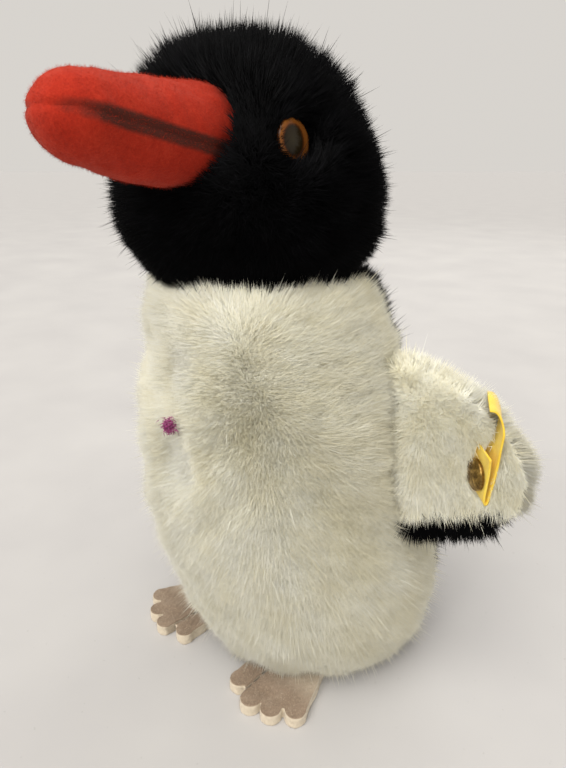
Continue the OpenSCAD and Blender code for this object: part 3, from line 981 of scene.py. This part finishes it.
def make_beak_cloth():
    """The whole beak in the head's frame: a rounded cone that is sewn together along the mouth."""
    arc = np.linspace(0, np.pi / 2, 14)[:-1]
    root = BEAK_W / 2
    tip = zip(BEAK_TIP_R * np.cos(arc), BEAK_TAPER + BEAK_TIP_R * np.sin(arc))
    outline = [(0, 0), (root, 0), (root - 0.01, 0.01), *tip, (0, BEAK_LENGTH)]
    cloth = revolve("beak_top", outline)
    x, y, out = points_of(cloth).T
    y = y * BEAK_FLAT
    c, s = math.cos(BEAK_TILT), math.sin(BEAK_TILT)
    set_points(cloth, np.stack([x, -out * c - y * s, out * s - y * c], 1) + [0, -BEAK_ROOT, BEAK_MID_Z])
    cloth.data.flip_normals()
    smoothed(remesh(cloth, 0.45), 3)

    def sewn(points):
        return (np.abs(mouth_place(points)[0]) < 0.5) | (points[:, 1] > -BEAK_ROOT - 1)

    puff(cloth, 0.35, sewn)
    points = points_of(cloth)
    height, out = mouth_place(points)
    full = np.sin(np.pi * np.clip(out / BEAK_LENGTH, 0, 1))
    points[:, 2] -= 0.9 * full * smooth(0, 6, -height)
    dents = waves(points, 8, 71) * 0.16 + waves(points, 3, 72) * 0.06
    seam = 0.28 * np.exp(-(height / 0.45) ** 2)
    set_points(cloth, points + normals_of(cloth) * (dents - seam)[:, None])
    return shade_smooth(cloth)


def make_beak():
    """Orange-red felt, with a dark line sprayed along the mouth."""
    paint, red = felt_paint(
        "red_felt", (0.29, 0.013, 0.004), (0.37, 0.019, 0.006), (0.45, 0.033, 0.013),
        0.18, (1, 0.4, 0.3),
    )
    line = paint.ramp(paint.broken("seam", 1.3, 4, 0.34), (0.50, (0, 0, 0)), (1.0, (0.93, 0.93, 0.93)))
    paint.colour(paint.mix(line, red, (0.050, 0.014, 0.009)))
    shades = [(0.36, 0.018, 0.007), (0.44, 0.028, 0.011), (0.52, 0.05, 0.02)]
    reds = fibre_shades("red_wool", shades, 0.8, 0.1)
    top = make_beak_cloth()
    height, out = mouth_place(points_of(top))
    share = out / BEAK_LENGTH
    fading = (0.5 + 0.5 * smooth(1.0, 0.75, share)) * smooth(1.04, 0.97, share)
    set_attribute(top, "seam", smooth(2.2, 0.5, np.abs(height)) * fading)
    bottom = split_faces(top, "beak_bottom", lambda m: mouth_place(m)[0] < 0)
    for seed, obj, *nodes in ((73, top, "beak_upper"), (74, bottom, "beak_lower", "beak_stuffing")):
        set_points(obj, head_to_world(points_of(obj)))
        cover(obj, paint, "red_felt", "head", *nodes, fill=0.95)
        fuzz(obj, obj.name + "_wool", "head", 12, 0.5, reds, seed)


# --- eyes ---


def make_eyes():
    """Glass eyes: a clear coated dome, amber round the rim and dark in the middle."""
    paint = Paint("eye_glass", 0.05, Coat_Weight=0.05, Coat_Roughness=0.02, Specular_IOR_Level=0.16)
    paint.colour(paint.ramp(
        paint.broken("radius", 0.8, 4, 0.10),
        (0.0, (0.026, 0.020, 0.009)), (0.62, (0.016, 0.010, 0.004)), (0.70, (0.05, 0.016, 0.004)),
        (0.77, (0.16, 0.050, 0.009)), (0.93, (0.23, 0.080, 0.015)), (1.0, (0.05, 0.015, 0.003)),
    ))
    rim = [(0.80, EYE_BACK), (0.86, EYE_BACK + 0.15), (0.97, -0.25)]
    outline = [(0, EYE_BACK)] + [(EYE_R * share, z) for share, z in rim]
    angles = np.linspace(0, np.pi / 2, 14)[:-1]
    outline += [(EYE_R * math.cos(a), EYE_DOME * math.sin(a)) for a in angles] + [(0, EYE_DOME)]
    for side, label in ((1, "left"), (-1, "right")):
        obj = revolve("glass_eye_" + label, outline, 48)
        middle, looks = eye_frame(side)
        turn = np.array(Vector((0, 0, 1)).rotation_difference(Vector(looks)).to_matrix())
        points = points_of(obj) @ turn.T
        beside = points - (points @ looks)[:, None] * looks
        share = np.linalg.norm(beside, axis=1) / EYE_R
        forward = np.array([-side * math.cos(EYE_LOOKS), -math.sin(EYE_LOOKS), 0]) * PUPIL_AHEAD
        beside -= forward * (1 - share ** 2).clip(0)[:, None]
        set_attribute(obj, "radius", np.linalg.norm(beside, axis=1) / EYE_R)
        shade_smooth(set_points(obj, head_to_world(points + middle)))
        cover(obj, paint, "eye_glass", "head", "eye_" + label)


# --- feet ---


def make_feet():
    """Felt feet, sprayed on top, with pale cut edges. The spray is paler on the top near the body, as
    painted light where the body's pile hangs over the foot and shades it. The slit between the middle
    toes has painted shade.
    """
    paint, tan = felt_paint(
        "tan_felt", (0.175, 0.127, 0.088), (0.245, 0.18, 0.127), (0.32, 0.25, 0.185),
        0.5, (0.9, 0.85, 0.75),
    )
    cream = (0.60, 0.52, 0.40)
    # tan spray over the pale cut felt, made paler near the body as painted light
    spray_and_painted_light = paint.ramp(paint.broken("spray_and_painted_light", 1.8, 4, 0.20), (0.22, (0, 0, 0)), (1.05, (1, 1, 1)))
    # painted shade: dark brown in the slit between the middle toes, from the line attribute set below
    line = paint.ramp(paint.broken("line", 0.9, 3, 0.25), (0.45, (0, 0, 0)), (1.0, (0.75, 0.75, 0.75)))
    paint.colour(paint.mix(line, paint.mix(spray_and_painted_light, cream, tan), (0.10, 0.060, 0.040)))
    shades = [(0.40, 0.31, 0.23), (0.55, 0.46, 0.35), (0.64, 0.56, 0.45)]
    wools = fibre_shades("tan_wool", shades, 0.8, 0.2)
    low, high = node_box("foot_left")
    toes_y = low[1] + 2.6
    for side, node in ((1, "foot_left"), (-1, "foot_right")):
        obj = smoothed(remesh(copy_of("felt_" + node, node), 0.2), 3)
        points = points_of(obj)
        normals = normals_of(obj)
        points = points_of(grown(obj, waves(points, 6, 81) * 0.12 + waves(points, 1.5, 82) * 0.05))
        points[:, 2] = points[:, 2].clip(0.02)
        set_points(obj, points)
        top = smooth(0.0, 0.75, normals[:, 2])
        # painted light: the spray thins towards the back of the foot, so the top is paler where the
        # body's pile hangs over it and shades it. Towards the toes it is the full, darker spray.
        forward = smooth(high[1] - 16, toes_y + 4, points[:, 1])
        set_attribute(obj, "spray_and_painted_light", top * (0.42 + 0.55 * forward))
        # painted shade in the slit between the middle toes, where the felt lies in shadow
        in_foot = (points[:, 0] - FEET_X) * side
        from_slit = np.abs(in_foot - SLIT_X - (points[:, 1] - SLIT_Y) * SLIT_SLOPE)
        past_slit = points[:, 1] - SLIT_Y - SLIT_LENGTH
        painted_slit_shade = smooth(0.9, 0.3, from_slit) * smooth(1, -1, past_slit)
        set_attribute(obj, "line", painted_slit_shade * 0.6)
        cover(shade_smooth(obj), paint, "tan_felt", "body", node, fill=0.5)
        fuzz(obj, node + "_wool", "body", 5, 0.6, wools, 83 + side)


# --- wings and tail ---


WING_FROM = math.radians(45)
WING_CURL_R = 32.0
WING_FLAT_TO = 13.0      # from here out, the black edge runs level towards the tip
WING_SHRINK = 0.91       # the cloth is this much shorter along its curve than the pressed pile
WHITE_REACH = 4.6        # how far above the wing's lower edge its white pile starts
OUTER_SHARE = 0.45       # the black pile is thinner than the white
TAG_ROLL = math.radians(8)
RIBBON_TWIST = math.radians(20)
RIBBON_HALF = 4.0
RIBBON_THICK = 0.36
RIBBON_BOW = 0.10        # how far its middle stands out from its edges
FOLD_X = -5.2            # how far the ribbon reaches up its own frame: its fold, and its two ends
SHORT_END_X = 6.5
LONG_END_X = 17.0


def seam_points(side):
    """The lower end and the direction of a wing's seam, in millimetres."""
    joint = JOINTS["wing_left_swing" if side > 0 else "wing_right_swing"]
    axis = np.array(joint["axis"])
    return np.array(joint["pos_m"]) / MM, axis * np.sign(axis[2])


def wing_directions(side):
    """Out along a wing's chord from its seam, ahead of its middle, and up its seam."""
    _, axis = seam_points(side)
    out = np.array([side * math.cos(WING_FROM), math.sin(WING_FROM), 0])
    out = unit(out - (out @ axis) * axis)
    return out, np.cross(axis, out) * -side, axis


def wing_place(points, side):
    """Points seen from a wing's seam: out along the chord, ahead of the wing's middle, and up."""
    foot, _ = seam_points(side)
    out, ahead, axis = wing_directions(side)
    moved = points - foot
    x, y, z = moved @ out, moved @ ahead, moved @ axis
    return x, WING_CURL_R - np.hypot(x, y - WING_CURL_R), z


def tag_frame():
    """The middle of the top of the rivet's cap, and the directions up the ribbon, across it and out
    of the cap."""
    washer = points_of(frame["nodes"]["tag_rivet_washer"])
    rivet = points_of(frame["nodes"]["tag_rivet"])
    _, _, axes = np.linalg.svd(washer - washer.mean(0), full_matrices=False)
    out = axes[2] * np.sign(axes[2] @ (rivet.mean(0) - washer.mean(0)))
    reach = rivet @ out
    middle = rivet[reach > reach.max() - 0.05].mean(0)
    upright = unit(UP - out * out[2])
    level = np.cross(out, upright)
    c, s = math.cos(TAG_ROLL), math.sin(TAG_ROLL)
    return middle, upright * c - level * s, level * c + upright * s, out


def make_wing_cloth(side):
    """A wing's cloth. The right wing's nodes serve for both sides, because the left wing's are cut
    out for the tag. It is drawn in along its curve and at its upper edge, to make room for the pile."""
    label = "left" if side > 0 else "right"
    cloth = copy_of(f"wing_{label}_back", "wing_right_inner", "wing_right_outer")
    if side > 0:
        set_points(cloth, points_of(cloth) * [-1, 1, 1])
        cloth.data.flip_normals()
    smoothed(remesh(cloth, 1.0), 8)
    puff(cloth, 0.5, lambda points: np.abs(wing_place(points, side)[1]) < 0.6)
    points = points_of(cloth) - normals_of(cloth) * 1.0
    foot, _ = seam_points(side)
    out, ahead, axis = wing_directions(side)
    moved = points - foot
    x, y, z = moved @ out, WING_CURL_R - moved @ ahead, moved @ axis
    radius = np.hypot(x, y)
    turn = np.arctan2(x, y) * WING_SHRINK
    z = z - (z - 8).clip(0) * (0.07 + 0.08 * smooth(2, 14, x))
    x, y = radius * np.sin(turn), WING_CURL_R - radius * np.cos(turn)
    set_points(cloth, foot + x[:, None] * out + y[:, None] * ahead + z[:, None] * axis)
    return shade_smooth(cloth)


def wing_low_edge(cloth, side):
    """A function that gives the height of a wing's lower edge at each distance from its seam."""
    x, _, z = wing_place(points_of(cloth), side)
    places = np.arange(0, x.max() - 0.5, 1.0)
    lowest = [z[np.abs(x - place) < 0.8].min() for place in places]
    return lambda where: np.interp(where, places, lowest)


def make_wing(side, white, black):
    label = "left" if side > 0 else "right"
    body = "wing_" + label
    cloth = make_wing_cloth(side)
    rng = np.random.default_rng(90 + side)
    roots, normals = scatter(cloth, 48, rng)
    x, ahead, z = wing_place(roots, side)
    out, forward, axis = wing_directions(side)
    above_edge = z - wing_low_edge(cloth, side)(np.minimum(x, WING_FLAT_TO))
    ragged = WHITE_REACH + 0.5 * waves(roots, 2.5, 92) + rng.normal(size=len(roots)) * 0.5
    inner = (ahead > -0.5 + 0.25 * waves(roots, 3, 91)) & (above_edge > ragged)
    outer = ~inner & (rng.uniform(size=len(roots)) < OUTER_SHARE)
    from_middle = np.stack([x - x.mean(), z - z.mean()], 1)
    rim = smooth(4, 10, np.linalg.norm(from_middle, axis=1))
    for plush, chosen, spreading, width, wild, seed in (
        (white, inner, 1.0, 0.19, 0.13, 95 + side),
        (black, outer, 0.3, 0.28, 0.25, 92 + side),
    ):
        here, facing, rim_here = roots[chosen], normals[chosen], rim[chosen]
        fringe = smooth(9, 2, above_edge[chosen])
        to_rim = unit(from_middle[chosen])
        spread = tangent(to_rim[:, :1] * out + to_rim[:, 1:] * axis, facing)
        spread *= (0.55 * spreading * rim_here * (1 - 0.7 * fringe))[:, None]
        if plush is white:
            facing = unit(facing + forward * 0.5)
            length = np.full(len(here), 4.4)
        else:
            length = 4.0 + fringe - 1.4 * rim_here * (1 - fringe)
        down = tangent(-UP, facing) * (0.25 + 0.25 * fringe)[:, None]
        lean = down + tangent(out, facing) * 0.12 + spread
        keep = None
        if side > 0 and plush is white:
            lean, length = pressed_by_tag(here, facing, lean, length)
            keep = clear_of_tag
        plush.pile(body, body, here, facing, lean, length, width, wild, seed, keep, -0.15)
    front = split_faces(cloth, body + "_front", lambda m: wing_place(m, side)[1] > 0)
    cover(front, white.backing, white.slot, body, body + "_inner", fill=0.4)
    cover(cloth, black.backing, black.slot, body, body + "_outer", fill=0.4)


def pressed_by_tag(roots, normals, lean, length):
    """The pile near the tag is pushed aside, and stands out a little round it."""
    middle, up, _, out = tag_frame()
    moved = roots - middle
    along = np.clip(moved @ up, -4, 4)
    away = moved - along[:, None] * up + out * 2.0
    near = smooth(6.5, 3.0, np.linalg.norm(away, axis=1))
    lean = lean * (1 - near)[:, None] + tangent(unit(away), normals) * (near * 0.15)[:, None]
    return lean, length * (1 + 0.08 * near)


def clear_of_tag(paths):
    """True for the fibres that stay out of the tag."""
    middle, up, across, out = tag_frame()
    stays = np.ones(len(paths), bool)
    for step in range(3):
        moved = paths[:, step] - middle
        x, y, z = moved @ up, moved @ across, moved @ out
        leg = -2.9 - 0.10 * x.clip(0) - y * np.tan(RIBBON_TWIST * smooth(0, 13, x))
        long_leg = (x < LONG_END_X) & (z > leg - 0.5) & (z < leg + 0.7)
        short_leg = (x < SHORT_END_X) & (z > -2.9) & (z < -1.1)
        ribbon = (x > FOLD_X) & (y > -4.1) & (y < 3.4) & (long_leg | short_leg)
        cap = (np.hypot(x, y) < 2.9) & (z > -1.5) & (z < 0.8)
        stays &= ~ribbon & ~cap
    return stays


def make_tail(black):
    tail = smoothed(remesh(copy_of("tail_cover", "tail"), 0.8), 5)
    grown(shade_smooth(tail), -0.7)
    roots, normals = scatter(tail, 16, np.random.default_rng(101))
    lean = tangent(unit(np.array([0, 0.8, -0.6])), normals) * 0.6
    black.pile("tail", "body", roots, normals, lean, np.full(len(roots), 4.2), 0.28, 0.25, 102)
    cover(tail, black.backing, black.slot, "body", "tail", fill=0.6)


# --- tag ---


def swept_strip(name, line, across, thick):
    """A solid strip: line is its middle line, across the way from its middle to one edge at each
    place of the line (both places x XYZ), and thick its thickness. It bows a little."""
    rows = len(line)
    away = unit(np.cross(np.gradient(line, axis=0), across))
    shares = np.linspace(-1, 1, 17)
    ring = [(share, -thick / 2) for share in shares] + [(share, thick / 2) for share in shares[::-1]]
    points = []
    for share, height in ring:
        bow = RIBBON_BOW * math.cos(math.pi * share / 2)
        points.append(line + across * share + away * (height + bow))
    faces = [tuple(range(row, len(ring) * rows, rows)) for row in (0, rows - 1)]
    for number in range(len(ring)):
        a = number * rows
        b = (number + 1) % len(ring) * rows
        faces += [(a + row, a + row + 1, b + row + 1, b + row) for row in range(rows - 1)]
    strip = mesh_of(name, np.concatenate(points), faces)
    cleaned = bmesh.new()
    cleaned.from_mesh(strip.data)
    bmesh.ops.recalc_face_normals(cleaned, faces=cleaned.faces)
    cleaned.to_mesh(strip.data)
    cleaned.free()
    return strip


def ribbon_line():
    """The ribbon from its short end under the cap, round the fold at the bottom and up to the curl:
    how far up and how far out each place lies from the top of the cap, in the tag's frame."""
    short_leg = [(6.3, -1.15), (4.5, -1.35), (3.0, -1.5), (0.0, -1.55), (-2.5, -1.6)]
    fold = [(-4.3, -1.75), (-5.0, -2.2), (-4.3, -2.65)]
    long_leg = [(-2.5, -2.75), (0.0, -2.85), (3.0, -3.1), (6.0, -3.5), (9.0, -3.9), (11.5, -4.2)]
    long_leg.append((13.2, -4.2))
    curl = [(14.8, -3.6), (15.6, -2.7), (15.8, -1.6)]
    path = np.array(short_leg + fold + long_leg + curl)
    fine = np.linspace(0, len(path) - 1, 90)
    line = np.stack([np.interp(fine, np.arange(len(path)), path[:, i]) for i in range(2)], 1)
    for _ in range(6):
        line[1:-1] = (line[:-2] + line[1:-1] * 2 + line[2:]) / 4
    return line


def make_ribbon():
    middle, up, across, out = tag_frame()
    line = ribbon_line()
    on_long_leg = np.arange(len(line)) > len(line) * 0.4
    twist = RIBBON_TWIST * smooth(0, 13, line[:, 0]) * on_long_leg
    bend = smooth(11, 15.8, line[:, 0]) * on_long_leg
    wide = RIBBON_HALF * (across * np.cos(twist)[:, None] - out * np.sin(twist)[:, None])
    place = middle + line[:, :1] * up + line[:, 1:] * out + across * (2.2 * bend)[:, None]
    ribbon = shade_smooth(swept_strip("ribbon", place, wide, RIBBON_THICK))
    paint = Paint("yellow_ribbon", 0.5, Sheen_Weight=0.2, Specular_IOR_Level=0.4)
    weave = paint.noise(0.25, 3, 0.6, (1, 1, 0.35))
    cloudy = paint.blend(paint.noise(5, 3), weave, 0.4)
    yellows = (0.35, (0.72, 0.44, 0.022)), (0.5, (0.82, 0.57, 0.045)), (0.65, (0.88, 0.67, 0.08))
    paint.colour(paint.ramp(cloudy, *yellows))
    paint.roughness(weave, 0.4, 0.65)
    paint.bump(weave, 0.06)
    cover(ribbon, paint, "yellow_ribbon", "wing_left", "tag_ribbon")


def make_rivet_cap(brass):
    """The rivet's cap with its rolled rim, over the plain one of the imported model."""
    middle, up, across, out = tag_frame()
    rim = [(2.9, -1.35), (3.25, -1.15), (3.38, -0.85), (3.3, -0.55), (3.0, -0.38), (2.75, -0.42)]
    dome = [(2.5, -0.50), (2.2, -0.36), (1.5, -0.12), (0.8, -0.02), (0, 0)]
    cap = revolve("rivet_cap", [(0, rim[0][1])] + rim + dome, 56)
    points = points_of(cap)
    points[:, 2] += waves(points, 2.2, 111) * 0.03
    x, y, z = np.hsplit(points, 3)
    shade_smooth(set_points(cap, middle + x * up + y * across + z * out))
    brass.on(cap)
    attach(cap, "wing_left")


# --- small things ---


def make_thread():
    """A knot of magenta thread with frayed ends, in the pile of the breast."""
    low, high = node_box("breast_thread")
    middle = (low + high) / 2 + np.array([1.4, -2.2, 0.6])
    rng = np.random.default_rng(121)
    shades = [(0.22, 0.012, 0.10), (0.32, 0.022, 0.16), (0.44, 0.06, 0.26)]
    materials = fibre_shades("magenta_cotton", shades, 0.7, 0.3, 0.3)
    count = 420
    start = middle + rng.normal(size=(count, 3)) * np.array([0.65, 0.5, 0.6])
    way = unit(rng.normal(size=(count, 3)) + np.array([0.4, -0.5, -0.5]))
    bend = unit(way + rng.normal(size=(count, 3)) * 0.7)
    size = rng.uniform(0.6, 1.5, count)[:, None]
    paths = np.stack([start, start + way * size * 0.5, start + way * size * 0.5 + bend * size * 0.5], 1)
    tuft = blades(
        "breast_tuft", "body", paths, rng.uniform(0.12, 0.3, count), materials,
        rng.integers(0, len(materials), count).astype(np.int32), rng,
    )[0]
    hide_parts("breast_thread")


def finish_hardware(brass):
    """Materials of the pieces that keep their CAD shape."""
    for paint, *names in (
        (bright_steel(), "body_washer", "head_washer", "neck_pin", "eye_loop_left", "eye_loop_right"),
        (hardboard(), "body_disc", "head_disc"),
        (black_thread(), "eye_thread"),
        (brass, "tag_rivet", "tag_rivet_washer"),
    ):
        paint.on(*(frame["nodes"][name] for name in names))


def make_head_filling(wool):
    filling = remesh(copy_of("head_filling", "head_stuffing"), 1.5)
    cover(filling, wool, "filling", "head", "head_stuffing", fill=0.9)


def main():
    make_camera()
    make_studio()
    white = Plush("white", WHITES, 0.65, 0.2, 0.2, WHITE_WEAVE)
    black = Plush("black", BLACKS, 0.5, 0.05, 0.0, BLACK_WEAVE)
    wool = wood_wool()
    brass = aged_brass()
    make_body(white, black, wool)
    make_head(black)
    make_beak()
    make_eyes()
    make_feet()
    make_wing(1, white, black)
    make_wing(-1, white, black)
    make_tail(black)
    make_ribbon()
    make_rivet_cap(brass)
    make_thread()
    finish_hardware(brass)
    make_head_filling(wool)


main()
